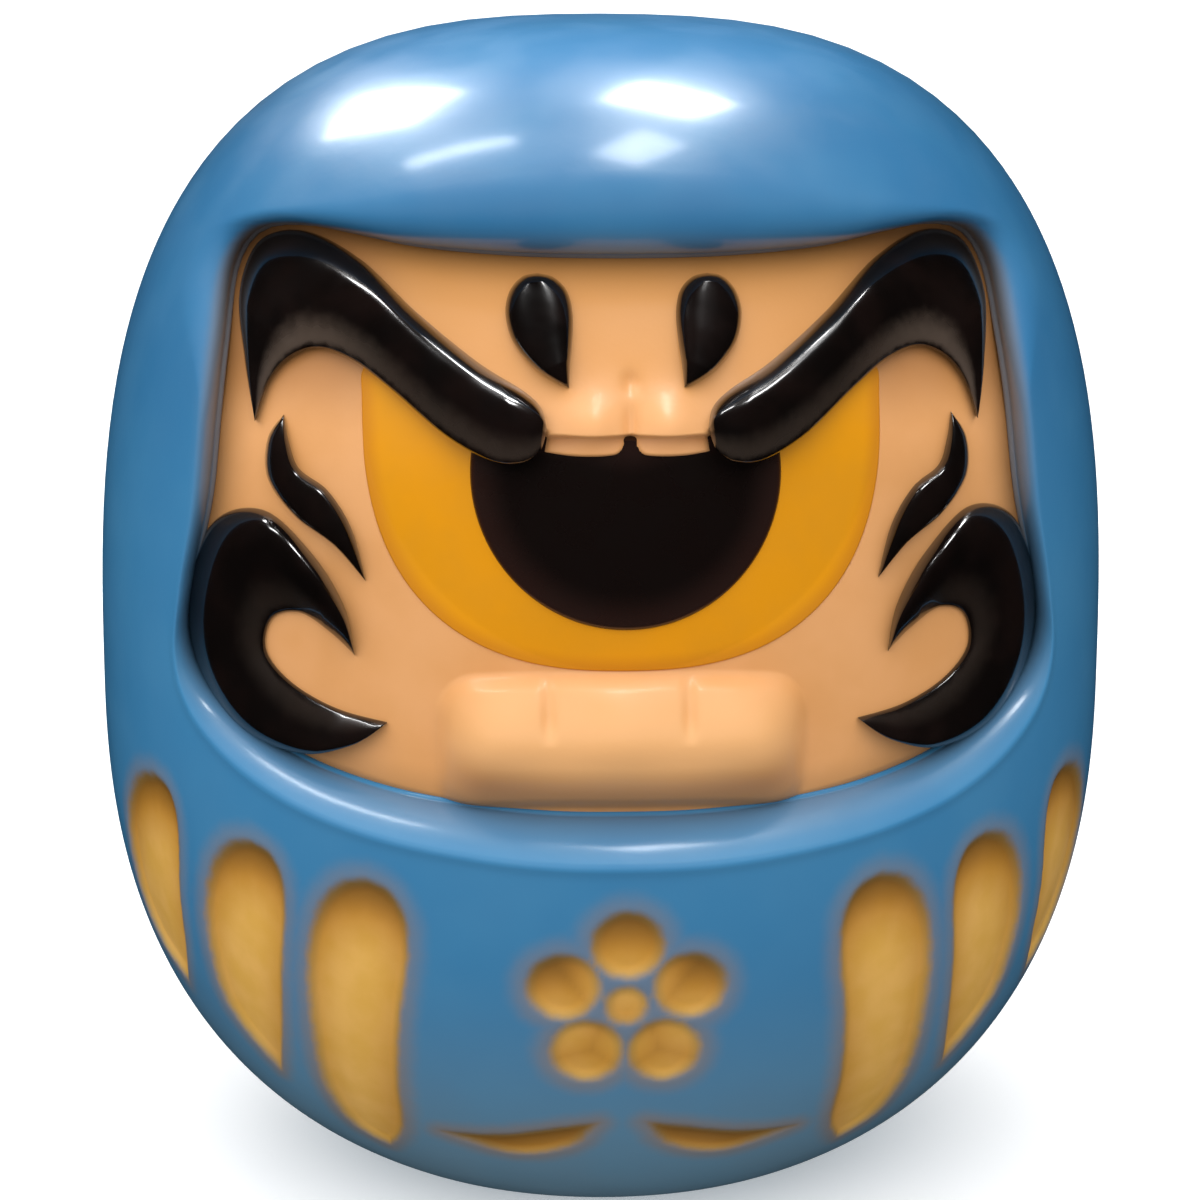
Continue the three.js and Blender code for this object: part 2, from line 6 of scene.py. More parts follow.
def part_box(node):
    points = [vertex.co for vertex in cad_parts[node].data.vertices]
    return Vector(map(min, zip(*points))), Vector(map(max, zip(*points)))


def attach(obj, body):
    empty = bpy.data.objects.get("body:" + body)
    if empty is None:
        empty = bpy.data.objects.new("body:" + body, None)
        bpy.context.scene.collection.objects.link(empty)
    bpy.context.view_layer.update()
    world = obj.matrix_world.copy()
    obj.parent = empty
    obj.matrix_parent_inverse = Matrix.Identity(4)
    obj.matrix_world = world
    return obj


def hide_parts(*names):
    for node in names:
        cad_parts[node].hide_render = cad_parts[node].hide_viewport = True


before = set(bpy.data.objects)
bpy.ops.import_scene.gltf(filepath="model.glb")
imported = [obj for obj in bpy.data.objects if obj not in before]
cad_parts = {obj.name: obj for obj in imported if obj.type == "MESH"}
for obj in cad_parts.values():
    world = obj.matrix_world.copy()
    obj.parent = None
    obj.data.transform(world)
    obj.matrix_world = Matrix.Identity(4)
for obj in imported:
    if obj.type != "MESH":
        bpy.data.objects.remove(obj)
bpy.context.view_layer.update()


# ---- Blue body shell ----
# The doll's hood and belly are one hollow casting of soft vinyl, sprayed a glossy blue. Its front is cut
# away for the face: the hood rolls in over the forehead, and the collar bevels in under the chin. Gold
# is sprayed into marks sunk in the belly, and a round hole in the flat base takes the plug.

# Sizes are in millimetres. The height is the frame's, and the width and the waist are shares of it.
shell_low, shell_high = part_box("body_shell")
height = round((shell_high.z - shell_low.z) * 1000)
half_width = 0.44 * height
depth_ratio = 0.97
waist = 13 / 30 * height
below_base = 5
upper_power, lower_power = 2.8, 2.4
base_fillet = 2
wall = 2.5
hole_radius = 18
base_flat = 5
far = 30.0


def body_radius(d):
    """Distance from the middle of the waist to the surface along unit directions: a superellipsoid with
    one power above the waist and one below, held back by the plane of the base with a small fillet."""
    above = d[..., 2] > 0
    power = np.where(above, upper_power, lower_power)
    reach = np.where(above, height - waist, waist + below_base)
    across = np.hypot(d[..., 0], d[..., 1] / depth_ratio) / half_width
    rounded = (across**power + (np.abs(d[..., 2]) / reach) ** power) ** (-1 / power)
    flat = waist / np.maximum(-d[..., 2], 1e-6)
    fillet = np.maximum(base_fillet - np.abs(rounded - flat), 0)
    return np.minimum(rounded, flat) - fillet**2 / (4 * base_fillet)


def half_width_at(z):
    """Half width of the body at heights: the same superellipse, solved for its width."""
    power = np.where(z > waist, upper_power, lower_power)
    reach = np.where(z > waist, height - waist, waist + below_base)
    return half_width * np.maximum(1 - (np.abs(z - waist) / reach) ** power, 0) ** (1 / power)


def front_depth(x, z):
    """Depth of the body's front surface at points of the front view."""
    return -depth_ratio * np.sqrt(np.maximum(half_width_at(z) ** 2 - x**2, 0))


def ease(value, low, high):
    """0 below low, 1 above high, and 3t^2 - 2t^3 in between."""
    t = np.clip((value - low) / (high - low), 0, 1)
    return t * t * (3 - 2 * t)


def spline(points, count, density=None):
    """count + 1 places along the Catmull-Rom curve through points: between two of them each coordinate is
    the cubic whose slope at a point is half the step between its neighbours. They are evenly spaced, or
    closer together where density, a function of the points, is higher."""
    p = np.asarray(points, float)
    p = np.vstack([p[:1], p, p[-1:]])
    t = np.linspace(0, 1, 24, endpoint=False)[:, None, None]
    a, b, c, d = (p[i:len(p) - 3 + i] for i in range(4))
    cubic = b + t * (c - a) / 2 + t**2 * (a - 2.5 * b + 2 * c - d / 2) + t**3 * (3 * b - a - 3 * c + d) / 2
    dense = np.vstack([cubic.transpose(1, 0, 2).reshape(-1, 2), p[-1:]])
    steps = np.linalg.norm(np.diff(dense, axis=0), axis=1)
    if density is not None:
        steps = steps * density((dense[1:] + dense[:-1]) / 2)
    walk = np.append(0, np.cumsum(steps))
    at = np.linspace(0, walk[-1], count + 1)
    return np.stack([np.interp(at, walk, dense[:, k]) for k in range(2)], 1)


# The opening in front view: its right half from the top middle to the bottom middle.
opening_half = np.array([
    (0, 123.7), (12, 123.8), (24, 124.4), (32, 125.5), (38, 126), (43.2, 124.9), (46.2, 120.6),
    (47.3, 112), (48.2, 104), (49.3, 94), (51.4, 84), (52.2, 76.5), (50.2, 71), (45, 66.6), (37.6, 63.2),
    (28.6, 61), (19.5, 59.9), (9.5, 59.2), (0, 59.1),
])
opening = np.vstack([opening_half, opening_half[-2::-1] * (-1, 1)])
face_middle = 92


def flatten(p):
    """Points of the body as complex numbers on a disc: each direction from the waist is projected from
    straight below, so that the rim of the base hole is the disc's edge."""
    d = p - (0, 0, waist)
    d /= np.linalg.norm(d, axis=-1, keepdims=True)
    reach = np.tan(np.arccos(d[..., 2]) / 2) / hole_reach
    return reach * np.exp(1j * np.arctan2(d[..., 0], -d[..., 1]))


def unflatten(w):
    """The body's points from their places on the disc."""
    tilt = 2 * np.arctan(np.abs(w) * hole_reach)
    turn = np.angle(w)
    d = np.stack([np.sin(tilt) * np.sin(turn), -np.sin(tilt) * np.cos(turn), np.cos(tilt)], -1)
    return body_radius(d)[..., None] * d + (0, 0, waist)


hole_reach = np.tan((np.pi - np.arctan(hole_radius / waist)) / 2)
face_place = flatten(np.array([0, front_depth(0, face_middle), face_middle])).real


def body_columns(outline, distances):
    """Points of the body at distances walked from the opening's outline towards the base hole, and those
    distances, which are asked for by each column's length. The disc is turned about so that the face is
    its middle, (w - a) / (1 - a w), and each column is a straight ray there, from the outline to the rim."""
    start = flatten(np.column_stack([outline[:, 0], front_depth(*outline.T), outline[:, 1]]))
    start = (start - face_place) / (1 - face_place * start)

    def at(share):
        """Points of the columns at shares of their way to the rim: w |w|^-share on the disc."""
        w = start[:, None] * np.abs(start[:, None]) ** -share
        return unflatten((w + face_place) / (1 + face_place * w))

    shares = np.linspace(0, 1, 500)
    path = at(shares[None])
    walk = np.cumsum(np.linalg.norm(np.diff(path, axis=1, prepend=path[:, :1]), axis=2), axis=1)
    wanted = distances(walk[:, -1:])
    return at(np.array([np.interp(d, w, shares) for d, w in zip(wanted, walk)])), wanted


# Width, depth and power of the rolled edge at the sides, under the hood and at the collar, and the
# heights over which the sides turn into each of the other two.
lip_side, lip_hood, lip_collar = np.array([(3.5, 5.5, 1.6), (12, 9, 2), (4.6, 6.5, 1.3)])
hood_heights, collar_heights = (105, 123), (82, 62)


def lip(z):
    """Width, depth and power of the rolled edge at heights of the opening's outline: broad and round
    under the hood, narrow at the sides, a bevel at the collar."""
    hood, collar = ease(z, *hood_heights)[..., None], ease(z, *collar_heights)[..., None]
    mixed = lip_side + (lip_hood - lip_side) * hood + (lip_collar - lip_side) * collar
    return np.moveaxis(mixed, -1, 0)


def lip_depth(width, depth, power, distance):
    """How far the edge lies behind the body at a distance from the outline: a superellipse's quarter."""
    left = np.clip(1 - distance / width, 0, 1)
    return depth * (1 - (1 - left**power) ** (1 / power))


# The belly's marks are drawn in front view, right side, by their outer and inner edges from the top down:
# three blades, a leaf, and a blossom with round petals about its eye. They are sunk with sloping sides,
# and their gold is browner near their upper and inner edges: browner spray there, and painted shadow
# from the recess's walls.
blades = [
    ([(30.5, 51.5), (33.6, 50.6), (36.2, 47.4), (37.6, 42.4), (38, 35), (36.8, 22), (33.4, 14), (28.4, 10.6)],
     [(30.5, 51.5), (27.8, 50.4), (25.9, 47), (25.6, 42), (26.7, 33), (27, 24), (26.6, 15.5), (28.4, 10.6)]),
    ([(44.6, 53.6), (47.4, 52.6), (49.6, 49.4), (50.7, 44.6), (50.7, 38), (48.5, 28.4), (42, 20)],
     [(44.6, 53.6), (42.2, 52.6), (40.7, 49.6), (40.4, 45), (41, 38), (41.4, 28), (42, 20)]),
    ([(57.3, 58), (59.5, 56.8), (61.2, 53.2), (61.8, 48), (61, 40.5), (58.6, 33.5), (54.2, 28.6)],
     [(57.3, 58), (55.4, 57), (54.3, 54), (54.1, 49.4), (54.3, 43), (54, 35), (54.2, 28.6)]),
]
leaf = ([(3, 19.5), (8, 18.4), (15, 16.6), (22, 16)], [(3, 19.5), (6, 15.2), (13, 13.2), (22, 16)])
blossom = (0, 37)
petal_count, petal_radius, petal_distance, blossom_eye = 5, 4.4, 7.9, 2.6
mark_depth, mark_slope = 0.8, (-0.4, 1.5)
shade_lift, shade_lean = 5.6, 0.6


def mark_outlines():
    """Every mark's outline as a closed run of points of the front view."""
    found = []
    for outer, inner in blades + [leaf]:
        half = np.vstack([spline(outer, 40), spline(inner, 40)[-2:0:-1]])
        found += [half, half * (-1, 1)]
    turn = np.linspace(0, 2 * np.pi, 48, endpoint=False)
    circle = np.column_stack([np.cos(turn), np.sin(turn)])
    found.append(circle * blossom_eye + blossom)
    for i in range(petal_count):
        angle = np.pi / 2 + 2 * np.pi * i / petal_count
        direction = np.array([np.cos(angle), np.sin(angle)])
        found.append(circle * petal_radius + blossom + petal_distance * direction)
    return found


def unroll(x, z):
    """Places of the front view on the unrolled belly: the length round it, width times arcsin(x / width),
    and the length up it, the sum of sqrt(1 + slope^2) over steps of height."""
    heights, steepest = np.linspace(0, height, 600), 4
    slope = np.minimum(np.abs(np.gradient(half_width_at(heights), heights)), steepest)
    length = np.append(0, np.cumsum(np.hypot(1, slope)[1:] * np.diff(heights)))
    wide = half_width_at(z)
    return np.column_stack([wide * np.arcsin(np.clip(x / wide, -1, 1)), np.interp(z, heights, length)])


def inside_distance(places, outline):
    """How far places lie inside a closed outline, less than nothing outside it: the distance to the
    nearest of its edges, with its sign from how many edges a line to the right crosses."""
    best = np.full(len(places), -far)
    margin = 12
    near = np.all((places > outline.min(0) - margin) & (places < outline.max(0) + margin), axis=1)
    p = places[near][:, None]
    a, b = outline, np.roll(outline, -1, 0)
    along = b - a
    t = np.clip(((p - a) * along).sum(-1) / (along**2).sum(-1), 0, 1)
    gap = np.linalg.norm(p - a - t[..., None] * along, axis=-1).min(1)
    over = (a[:, 1] > p[..., 1]) != (b[:, 1] > p[..., 1])
    crossing = a[:, 0] + (p[..., 1] - a[:, 1]) * along[:, 0] / np.where(along[:, 1] == 0, 1, along[:, 1])
    odd = ((over & (crossing > p[..., 0])).sum(1) % 2).astype(bool)
    best[near] = np.where(odd, gap, -gap)
    return best


def gold_distance(points, lift=0.0, lean=0.0):
    """How far points of the body lie inside the nearest mark, or would if they were moved up by lift and
    towards the middle by lean."""
    shape = points.shape[:-1]
    points = points.reshape(-1, 3)
    places = unroll(points[:, 0], points[:, 2])
    places += np.column_stack([-np.sign(places[:, 0]) * lean, np.full(len(places), lift)])
    found = np.full(len(points), -far)
    front = (points[:, 1] < 0) & (points[:, 2] < waist)
    for outline in mark_outlines():
        found[front] = np.maximum(found[front], inside_distance(places[front], unroll(*outline.T)))
    return found.reshape(shape)


def skin(name, rings, looped=False):
    """A closed surface over rings of points in millimetres: neighbours in a ring and in the next ring
    make four-sided faces. A looped run joins its last ring to its first, and any other ends in fans."""
    count, around = rings.shape[:2]
    points = rings.reshape(-1, 3)
    index = np.arange(count * around).reshape(count, around)
    lower, upper = (index, np.roll(index, -1, 0)) if looped else (index[:-1], index[1:])
    quads = np.stack([lower, np.roll(lower, -1, 1), np.roll(upper, -1, 1), upper], -1).reshape(-1, 4)
    fans = np.empty((0, 3), int)
    if not looped:
        points = np.vstack([points, rings[0].mean(0), rings[-1].mean(0)])
        first, last = index[0], index[-1]
        tips = np.full((2, around), len(points) - 1) - ((1,), (0,))
        fans = np.vstack([np.column_stack([np.roll(first, -1), first, tips[0]]),
                          np.column_stack([last, np.roll(last, -1), tips[1]])])
    corners = points[quads]
    flux = np.einsum("ij,ij->", corners[:, 0], np.cross(corners[:, 1], corners[:, 2]))
    flux += np.einsum("ij,ij->", corners[:, 0], np.cross(corners[:, 2], corners[:, 3]))
    if flux < 0:
        quads, fans = quads[:, ::-1], fans[:, ::-1]
    mesh = bpy.data.meshes.new(name)
    mesh.from_pydata(points / 1000, [], quads.tolist() + fans.tolist())
    mesh.shade_smooth()
    piece = bpy.data.objects.new(name, mesh)
    bpy.context.scene.collection.objects.link(piece)
    return piece


def note(piece, name, values):
    """Stores a number for each point of a piece, for its paint to read; the closing points get the last."""
    attribute = piece.data.attributes.new(name, "FLOAT", "POINT")
    padded = np.full(len(piece.data.vertices), values[-1], np.float32)
    padded[:len(values)] = values
    attribute.data.foreach_set("value", padded)


def seat(piece, body, node, material):
    """Fixes a finished piece to its body in place of its CAD node, with its material."""
    piece.data.materials.append(material)
    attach(piece, body)
    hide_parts(node)


def linear(red, green, blue):
    """A colour given as it looks on screen, 0 to 255, as light: (c + 0.055) / 1.055 to the power 2.4."""
    shown = np.array([red, green, blue]) / 255
    return (*np.where(shown < 0.04045, shown / 12.92, ((shown + 0.055) / 1.055) ** 2.4).tolist(), 1)


class Paint:
    """A painted or moulded finish: a Principled surface, and the nodes that feed it."""

    def __init__(self, name, roughness, coat=0.0, coat_roughness=0.06):
        """Starts the material with a roughness, and a clear coat by its weight and roughness."""
        self.material = bpy.data.materials.new(name)
        self.material.use_nodes = True
        self.tree = self.material.node_tree
        self.surface = self.tree.nodes["Principled BSDF"]
        self.surface.inputs["Roughness"].default_value = roughness
        self.surface.inputs["Coat Weight"].default_value = coat
        self.surface.inputs["Coat Roughness"].default_value = coat_roughness
        self.place = self.add("ShaderNodeTexCoord").outputs["Object"]

    def add(self, kind, inputs=None, **settings):
        """A node with its settings; an input takes a value, or another node's output."""
        made = self.tree.nodes.new(kind)
        for key, value in settings.items():
            setattr(made, key, value)
        for key, value in (inputs or {}).items():
            if isinstance(value, bpy.types.NodeSocket):
                self.tree.links.new(value, made.inputs[key])
            else:
                made.inputs[key].default_value = value
        return made

    def told(self, name):
        """The number stored on the piece under a name."""
        return self.add("ShaderNodeAttribute", attribute_name=name).outputs["Fac"]

    def ramp(self, value, low, high, start=0.0, end=1.0):
        """value eased from start at low to end at high."""
        return self.add(
            "ShaderNodeMapRange",
            {"Value": value, "From Min": low, "From Max": high, "To Min": start, "To Max": end},
            interpolation_type="SMOOTHSTEP",
        ).outputs["Result"]

    def combine(self, operation, a, b):
        """The sum, product or other operation of two numbers."""
        return self.add("ShaderNodeMath", {0: a, 1: b}, operation=operation).outputs[0]

    def mix(self, share, first, second):
        """Two colours mixed by a share of the second."""
        made = self.add("ShaderNodeMix", {"Factor": share}, data_type="RGBA")
        for socket, value in ((6, first), (7, second)):
            if isinstance(value, bpy.types.NodeSocket):
                self.tree.links.new(value, made.inputs[socket])
            else:
                made.inputs[socket].default_value = value
        return made.outputs[2]

    def speckle(self, size, detail=2.0):
        """Cloudy noise from 0 to 1 whose patches are about size millimetres across."""
        return self.add(
            "ShaderNodeTexNoise", {"Vector": self.place, "Scale": 1000 / size, "Detail": detail}
        ).outputs["Fac"]

    def finish(self, colour, roughness=None, grain=0.0, grain_size=1.0):
        """Feeds colour and roughness to the surface, with a fine grain for its relief."""
        self.tree.links.new(colour, self.surface.inputs["Base Color"])
        if roughness is not None:
            self.tree.links.new(roughness, self.surface.inputs["Roughness"])
        if grain:
            relief = self.add(
                "ShaderNodeBump",
                {"Height": self.speckle(grain_size), "Strength": grain, "Distance": 0.0002},
            )
            self.tree.links.new(relief.outputs["Normal"], self.surface.inputs["Normal"])
        return self.material


painted_bounce_foot_blue, belly_blue = linear(112, 148, 170), linear(58, 130, 178)
side_blue, painted_light_crown_blue, mottled_blue = linear(50, 118, 166), linear(68, 140, 194), linear(86, 156, 196)
gold, warm_gold = linear(238, 182, 78), linear(246, 190, 96)
gold_shadow, gold_deep_shadow, gold_rim = linear(190, 124, 22), linear(116, 78, 20), linear(150, 132, 80)
overspray, edge_overspray = linear(142, 130, 124), linear(138, 122, 104)


def shell_paint():
    """Blue, mottled by the spray, with painted light: paler at the foot for light bounced up from the floor,
    and paler at the crown for the overhead light; gold with soft edges in the marks, browner where the
    recess begins at its top, partly painted shadow; a thin tan haze round the gold and along the opening."""
    p = Paint("sprayed_blue_vinyl", 0.36, coat=0.4, coat_roughness=0.14)
    up = p.add("ShaderNodeSeparateXYZ", {"Vector": p.place}).outputs["Z"]
    # Painted light: the foot turns paler for light bounced up from the floor, and the crown paler for the
    # overhead light on it.
    blue = p.mix(p.ramp(up, 0.0, 0.045), painted_bounce_foot_blue, belly_blue)
    blue = p.mix(p.ramp(up, 0.085, 0.115), blue, side_blue)
    blue = p.mix(p.ramp(up, 0.138, 0.15), blue, painted_light_crown_blue)
    blue = p.mix(p.ramp(p.speckle(14), 0.35, 0.75, 0, 0.14), blue, mottled_blue)
    inside, shade = p.told("gold_distance"), p.told("gold_shade")
    ragged = p.combine("ADD", inside, p.ramp(p.speckle(1.8), 0.2, 0.8, -0.16, 0.16))
    haze = p.combine("MULTIPLY", p.ramp(ragged, -3.4, 0.2), p.ramp(up, 0.01, 0.05, 0.85, 0.5))
    blue = p.mix(haze, blue, overspray)
    blue = p.mix(p.told("lip_haze"), blue, edge_overspray)
    sprayed = p.mix(p.ramp(p.speckle(5, 4), 0.3, 0.7), gold, warm_gold)
    # Painted shadow: the gold turns brown where a place moved up and inwards would leave the mark, standing
    # for the shade of the recess's upper and inner walls, together with browner spray there.
    sprayed = p.mix(p.ramp(shade, -3.0, 6.0, 0.8, 0.0), sprayed, gold_shadow)
    sprayed = p.mix(p.ramp(shade, -5.0, 0.4, 0.8, 0.0), sprayed, gold_deep_shadow)
    sprayed = p.mix(p.ramp(inside, 0.2, 1.6, 0.45, 0.0), sprayed, gold_rim)
    covered = p.ramp(ragged, -0.6, 0.8)
    rough = p.combine("ADD", p.ramp(p.speckle(9), 0.3, 0.7, 0.32, 0.4), p.combine("MULTIPLY", covered, 0.1))
    return p.finish(p.mix(covered, blue, sprayed), rough, grain=0.06, grain_size=1.3)


shell_columns, lip_rings, side_rings, base_rings, inner_rings = 400, 22, 164, 4, 26
edge_thickness, edge_bulge, thickening = 1.2, 0.6, 9
collar_ridge, ridge_spread, ridge_heights = 0.26, 0.75, (96, 70)


def build_shell():
    """The shell's outer and inner faces over columns that run from the opening to the base hole, closed
    by a rounded edge at the opening and by the wall of the hole. The outer face takes the lip's depth, a
    low ridge along the collar, height times exp(-((d - width) / spread)^2), and the sunken marks. The
    inner face thickens from the edge's thickness to the wall's."""
    # The columns stand up to four times closer together along the collar.
    outline = spline(opening, shell_columns, lambda p: 1 + 3 * ease(p[:, 1], 100, 78))[:-1]
    width, depth, power = (v[:, None] for v in lip(outline[:, 1]))
    roll = 1 - np.cos(np.linspace(0, np.pi / 2, lip_rings))
    run = np.linspace(0, 1, side_rings + 1)[1:]
    last = np.linspace(0, 1, base_rings + 1)[1:]

    def outer_distances(length):
        """Close rings over the lip, even ones down the side, and a few over the flat foot."""
        side = length - base_flat
        return np.hstack([roll * width, width + run * (side - width), side + last * base_flat])

    outer, walked = body_columns(outline, outer_distances)
    outer[..., 1] += lip_depth(width, depth, power, walked)
    at_collar = ease(outline[:, 1:], *ridge_heights)
    outer[..., 1] -= collar_ridge * at_collar * np.exp(-(((walked - width) / ridge_spread) ** 2))
    gold_inside, shade = gold_distance(outer), gold_distance(outer, shade_lift, shade_lean)
    sunk = mark_depth * ease(gold_inside, *mark_slope)
    outer[..., :2] *= (1 - sunk / np.maximum(half_width_at(outer[..., 2]), hole_radius + 2))[..., None]

    inner_share = np.linspace(0, 1, inner_rings) ** 1.5
    inner, inner_walked = body_columns(outline, lambda length: length * inner_share)
    settled = ease(inner_walked, 0, width + thickening)
    inward = np.where(inner[..., 2:] < 0.01, (0, 0, 1), (0, 0, waist) - inner)
    inward /= np.linalg.norm(inward, axis=-1, keepdims=True)
    inner += inward * wall * settled[..., None]
    inner[..., 1] += (depth + edge_thickness) * (1 - settled)

    inwards = ((0, 0, face_middle) - outer[:, :1]) * (1, 0, 1)
    inwards *= edge_bulge / np.linalg.norm(inwards, axis=-1, keepdims=True)
    turn = np.linspace(0, np.pi, 9)[1:-1]
    edge = (outer[:, :1] + inner[:, :1]) / 2 + np.sin(turn)[:, None] * inwards
    edge[..., 1] -= edge_thickness / 2 * np.cos(turn)
    inner = np.concatenate([edge, inner], 1)

    shell = skin("blue_shell", np.hstack([outer, inner[:, ::-1]]).transpose(1, 0, 2), looped=True)
    # Overspray lies on the rolled edge, most at its upper corners, and on the wall inside it.
    corner = ease(np.abs(outer[..., 0]), 26, 42) * ease(outer[..., 2], 84, 112)
    haze = (0.25 + 0.5 * corner) * ease(walked, 4.2, 0)
    inner_haze = 0.7 * ease(inner[..., 2], 70, 90)
    hidden = np.full(inner.shape[:2], -far)
    for name, front, rear in (("gold_distance", gold_inside, hidden), ("gold_shade", shade, hidden),
                              ("lip_haze", haze, inner_haze[:, ::-1])):
        note(shell, name, np.hstack([front, rear]).T.ravel())
    return shell


seat(build_shell(), "doll", "body_shell", shell_paint())


# ---- Flesh face plate ----
# A second vinyl casting behind the opening, sprayed a satin flesh colour: a forehead that slopes forward
# to a blunt two-lobed nose, flat cheeks, and a mouth like a rounded bar with two creases.

nose_bottom, nose_middle, opening_top = 101.6, 0.3, 125
# The level of the cheeks behind the body, how much deeper they go under the hood, and from what height.
cheek_level, cheek_drop, cheek_drop_from = 6.8, 3.6, 98
# The level of the forehead above the nose, its slope up to the hood, and its fall to the sides.
forehead_level, forehead_slope, forehead_fall = 1.6, 8.8, 4.2
# The forehead's wedge: its half width at a height, how fast that grows with height, and its least.
wedge_half_width, wedge_height, wedge_flare, wedge_least = 9, 103.5, 1.55, 10.8
# The mouth's bar: its middle, half width and half height, the radius of its corners, and its droop.
mouth_middle, mouth_half_width, mouth_half_height = (-0.3, 68.2), 22, 8.4
mouth_corner, mouth_droop, droop_reach = 5, 1.2, 21.4
# The widths over which it is rounded inside its outline, and from its top, its foot and its ends.
mouth_edge, mouth_top, mouth_foot, mouth_end = 2.2, 11, 6.5, 7
mouth_rise, mouth_fall, fall_heights = 5.4, 1.4, (70, 61)
mouth_creases, crease_width, crease_depth, crease_heights = (-9.1, 7.2), 0.8, 1.1, (68.5, 72)
mouth_blocks, block_width, block_heights = (-14.6, -1, 13.4), 5, (61, 72)
eye_middle, eye_radius, eye_power = 107, 30.5, 2.6
# The eye's upper edge lies under the brows and the nose, right half from the side inwards.
eye_top = [(30.4, 110), (28.4, 112), (25, 109.6), (19.6, 106), (14.5, 104.6), (7, 104.6), (0, 104.6)]


def cheek_setback(z):
    """How far the cheeks lie behind the body: level, then deeper under the hood."""
    return cheek_level + cheek_drop * ease(z, cheek_drop_from, opening_top)


def forehead_setback(x, z):
    """How far the forehead lies behind the body: a slope from deep under the hood to nearly level at the
    nose, which falls back to the sides."""
    rise = np.clip((z - nose_bottom) / (opening_top - nose_bottom), 0, 1)
    return forehead_level + forehead_slope * rise + forehead_fall * (1 - rise) * ease(np.abs(x), 12, 42)


def hump(distance, width):
    """exp(-(distance / width)^2): 1 at a place, and nearly 0 two widths from it."""
    return np.exp(-((distance / width) ** 2))


def forehead_share(x, z):
    """1 on the wedge of the forehead between the brows, 0 off it: eased over its edges. The nose's lower
    edge is a shallow arc for each lobe, 0.012 |distance|^2.2, with a notch between."""
    arcs = 0.012 * np.abs(np.abs(x) - 4.5) ** 2.2
    lobes = nose_bottom - 0.5 + 1.3 * hump(x - nose_middle, 0.9) + arcs
    brow_line = np.maximum(wedge_half_width + (z - wedge_height) * wedge_flare, wedge_least)
    inside = np.minimum((brow_line - np.abs(x)) * 0.55, z - lobes)
    return ease(inside, -0.5, 1.1) ** 0.8


def nose_lobes(x, z):
    """Extra rise of the nose: two low mounds with a crease between them that ends in a dimple."""
    mounds = hump(np.abs(x - nose_middle) - 4.4, 3.2) * hump(z - 105.6, 3)
    dimple = hump(x - 0.5, 0.9) * hump(z - 109.9, 1.2)
    crease = hump(x - nose_middle, 0.7) * ease(z, 108.6, 105.4)
    return 1.6 * mounds - 0.8 * dimple - 0.7 * crease


def rounded(distance, width):
    """0 at an edge, rising to 1 at a width inside it: 1 - (1 - distance / width)^2.3."""
    return 1 - (1 - np.clip(distance / width, 0, 1)) ** 2.3


def mouth_share(x, z):
    """1 on the mouth's bar, 0 off it. Its outline is a rounded rectangle, bent down a little at both ends:
    the distance inside it is R - |max(q, 0)| - min(max(q), 0), where q is how far a place lies beyond the
    corners' middles. It is rounded over its top, its foot and its ends, each by a width of its own."""
    across = np.abs(x - mouth_middle[0])
    up = z + mouth_droop * (across / droop_reach) ** 3 - mouth_middle[1]
    beyond = (across - (mouth_half_width - mouth_corner), np.abs(up) - (mouth_half_height - mouth_corner))
    outside = np.hypot(np.maximum(beyond[0], 0), np.maximum(beyond[1], 0))
    inside = mouth_corner - outside - np.minimum(np.maximum(*beyond), 0)
    top, foot = rounded(mouth_half_height - up, mouth_top), rounded(mouth_half_height + up, mouth_foot)
    return rounded(inside, mouth_edge) * top * foot * rounded(mouth_half_width - across, mouth_end)


def mouth_relief(x, z):
    """Rise of the mouth: the bar, lower towards its foot and a little fuller in each of its three blocks,
    less the creases."""
    crease = sum(hump(x - at, crease_width) for at in mouth_creases) * ease(z, *crease_heights)
    blocks = sum(hump(x - at, block_width) for at in mouth_blocks) * ease(z, *block_heights)
    fall = mouth_fall * ease(z, *fall_heights)
    return mouth_share(x, z) * (mouth_rise - fall + blocks - crease_depth * crease)


def face_setback(x, z):
    """How far the face lies behind the body: the cheeks, and the forehead on its wedge, less the rise of
    the nose and the mouth."""
    share = forehead_share(x, z)
    level = cheek_setback(z) + (forehead_setback(x, z) - cheek_setback(z)) * share
    return level - (nose_lobes(x, z) * share + mouth_relief(x, z))


def eye_outline(count):
    """The eye's outline: a superellipse below its middle, |x / r|^n + |z / r|^n = 1, and its hidden top."""
    half = np.array(eye_top)
    turn = np.linspace(0, np.pi / 2, 14)
    arc = np.column_stack([np.cos(turn), -np.sin(turn)])
    arc = np.sign(arc) * eye_radius * np.abs(arc) ** (2 / eye_power) + (0, eye_middle)
    right = np.vstack([half[::-1], arc])
    return spline(np.vstack([right, right[-2::-1] * (-1, 1)]), count)[:-1]


flesh_colour, light_flesh = linear(229, 163, 99), linear(236, 171, 110)
forehead_flesh, pale_flesh = linear(219, 153, 84), linear(240, 180, 118)
shaded_flesh, sprayed_edge = linear(176, 118, 66), linear(158, 112, 66)


